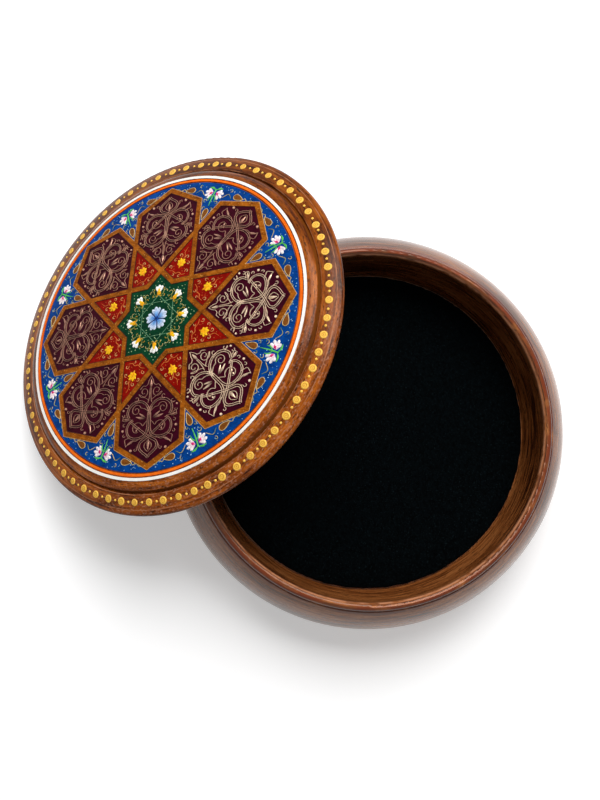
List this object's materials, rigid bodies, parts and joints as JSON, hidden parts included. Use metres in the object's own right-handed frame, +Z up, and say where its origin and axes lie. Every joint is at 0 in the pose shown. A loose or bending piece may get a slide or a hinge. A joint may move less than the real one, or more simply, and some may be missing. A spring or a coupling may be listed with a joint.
{
  "type": "lidded box",
  "caption": "Round turned wooden box with a velvet floor and a loose domed lid painted with a strapwork star; the lid leans on the rim.",
  "frame": {"origin": "middle of the flat foot of the bowl, on the table", "axes": "+Z up along the bowl's turning axis; +X to the right and +Y away from the viewer of the picture, so that the lid leans on the bowl's left and far side"},
  "size_m": [0.2363, 0.2017, 0.0806],
  "materials": {
    "bowl_wood": "satin lacquered brown wood, turned grain",
    "lid_wood": "satin lacquered brown wood, turned grain",
    "velvet": "near-black velvet pile",
    "green_paint": "lacquered dark green paint",
    "red_paint": "lacquered red paint",
    "purple_paint": "lacquered aubergine paint",
    "strap_paint": "lacquered golden-brown paint",
    "blue_paint": "lacquered blue paint",
    "orange_paint": "lacquered orange paint",
    "white_paint": "lacquered white paint"
  },
  "bodies": {
    "bowl": {"bowl": "bowl_wood", "velvet_lining": "velvet"},
    "lid": {"lid": "lid_wood", "green_star": "green_paint", "red_kite_1": "red_paint", "red_kite_2": "red_paint", "red_kite_3": "red_paint", "red_kite_4": "red_paint", "red_kite_5": "red_paint", "red_kite_6": "red_paint", "red_kite_7": "red_paint", "red_kite_8": "red_paint", "purple_panel_1": "purple_paint", "purple_panel_2": "purple_paint", "purple_panel_3": "purple_paint", "purple_panel_4": "purple_paint", "purple_panel_5": "purple_paint", "purple_panel_6": "purple_paint", "purple_panel_7": "purple_paint", "purple_panel_8": "purple_paint", "strapwork": "strap_paint", "blue_ground": "blue_paint", "orange_ring": "orange_paint", "white_ring": "white_paint"}
  },
  "joints": [
    {"name": "lid_lift", "type": "slide", "parent": "bowl", "child": "lid", "axis": [0, 0, 1], "range_m": [0, 0.12]}
  ]
}
